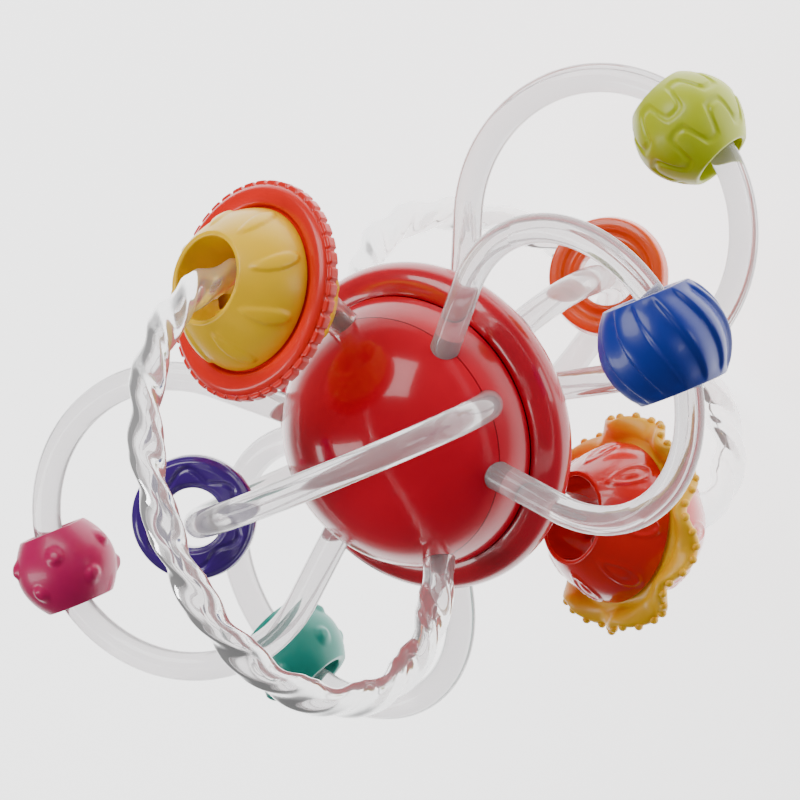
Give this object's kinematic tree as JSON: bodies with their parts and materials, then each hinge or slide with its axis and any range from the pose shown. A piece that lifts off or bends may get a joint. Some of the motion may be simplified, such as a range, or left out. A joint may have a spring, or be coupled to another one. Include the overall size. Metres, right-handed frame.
{
  "type": "baby rattle",
  "caption": "Hand rattle: a glossy ball that twists in two halves, with clear loops plugged into each half that carry sliding beads, rings and spinning discs.",
  "frame": {"origin": "centre of the ball, on its twist axis, midway between the two halves", "axes": "+Z along the ball's twist axis, out of the front cap; +X towards the front half's blue bead loop"},
  "size_m": [0.1719, 0.1089, 0.1792],
  "materials": {
    "ball_red": "high gloss moulded ABS",
    "rim_crimson": "high gloss moulded ABS",
    "clear_rod": "clear flexible plastic, polished",
    "blue": "satin soft-touch plastic",
    "magenta": "satin soft-touch plastic",
    "purple": "gloss moulded plastic",
    "yellow": "satin moulded plastic",
    "disc_red": "satin moulded plastic",
    "lime": "satin soft-touch plastic",
    "teal": "satin soft-touch plastic",
    "orange": "gloss moulded plastic",
    "bead_red": "gloss moulded plastic",
    "disc_yellow": "satin soft plastic",
    "steel": "zinc plated",
    "wheel_white": "plain acetal",
    "pellet": "plain shot"
  },
  "bodies": {
    "rear_half": {"rim_ring": "rim_crimson", "rear_collar": "ball_red", "rear_cap": "ball_red", "axle_bolt": "steel", "axle_washer": "steel", "axle_nut": "steel", "click_wheel": "wheel_white", "rim_screws": "steel", "rear_pellets": "pellet", "rear_near_side_loop": "clear_rod", "rear_far_side_loop": "clear_rod", "rear_ring_loop": "clear_rod", "rear_twisted_loop": "clear_rod"},
    "front_half": {"front_cap": "ball_red", "front_collar": "ball_red", "click_spring": "steel", "front_pellets": "pellet", "front_near_side_loop": "clear_rod", "front_far_side_loop": "clear_rod", "front_ring_loop": "clear_rod", "front_twisted_loop": "clear_rod"},
    "blue_bead": {"blue_fluted_bead": "blue"},
    "magenta_bead": {"magenta_studded_bead": "magenta"},
    "lime_bead": {"lime_grooved_bead": "lime"},
    "teal_bead": {"teal_studded_bead": "teal"},
    "purple_slider": {"purple_ring": "purple"},
    "orange_slider": {"orange_ring": "orange"},
    "yellow_bead": {"yellow_bead_sleeve_half": "yellow", "yellow_bead_plain_half": "yellow"},
    "toothed_disc": {"red_toothed_disc": "disc_red"},
    "red_bead": {"red_bead_sleeve_half": "bead_red", "red_bead_plain_half": "bead_red"},
    "ruffled_disc": {"yellow_ruffled_disc": "disc_yellow"}
  },
  "joints": [
    {"name": "ball_twist", "type": "hinge", "parent": "rear_half", "child": "front_half", "pos_m": [0, 0, 0], "axis": [0, 0, 1], "continuous": true},
    {"name": "blue_bead_slide", "type": "hinge", "parent": "front_half", "child": "blue_bead", "pos_m": [0.04881, 0, 0.0178], "axis": [0.1994, 0, -0.9799], "range_deg": [-105, 105]},
    {"name": "magenta_bead_slide", "type": "hinge", "parent": "front_half", "child": "magenta_bead", "pos_m": [-0.04881, 0, 0.0178], "axis": [-0.1994, 0, -0.9799], "range_deg": [-110, 110]},
    {"name": "purple_ring_slide", "type": "hinge", "parent": "front_half", "child": "purple_slider", "pos_m": [0, 0, 0.02852], "axis": [0, 1, 0], "range_deg": [-32, 156]},
    {"name": "yellow_bead_slide", "type": "hinge", "parent": "front_half", "child": "yellow_bead", "pos_m": [0, 0, 0.04534], "axis": [1, 0, 0], "range_deg": [-6, 224]},
    {"name": "toothed_disc_spin", "type": "hinge", "parent": "yellow_bead", "child": "toothed_disc", "pos_m": [0, 0.03633, 0.03354], "axis": [0.0689, -0.4532, -0.8887], "continuous": true},
    {"name": "lime_bead_slide", "type": "hinge", "parent": "rear_half", "child": "lime_bead", "pos_m": [0.04349, 0.02216, -0.0178], "axis": [0.1776, 0.0905, 0.9799], "range_deg": [-105, 105]},
    {"name": "teal_bead_slide", "type": "hinge", "parent": "rear_half", "child": "teal_bead", "pos_m": [-0.04349, -0.02216, -0.0178], "axis": [-0.1776, -0.0905, 0.9799], "range_deg": [-110, 110]},
    {"name": "orange_ring_slide", "type": "hinge", "parent": "rear_half", "child": "orange_slider", "pos_m": [0, 0, -0.02852], "axis": [0.454, -0.891, 0], "range_deg": [-156, 32]},
    {"name": "red_bead_slide", "type": "hinge", "parent": "rear_half", "child": "red_bead", "pos_m": [0, 0, -0.04534], "axis": [0.891, 0.454, 0], "range_deg": [-2, 230]},
    {"name": "ruffled_disc_spin", "type": "hinge", "parent": "red_bead", "child": "ruffled_disc", "pos_m": [0.01537, -0.03237, -0.02709], "axis": [-0.2061, 0.4045, 0.891], "continuous": true}
  ]
}
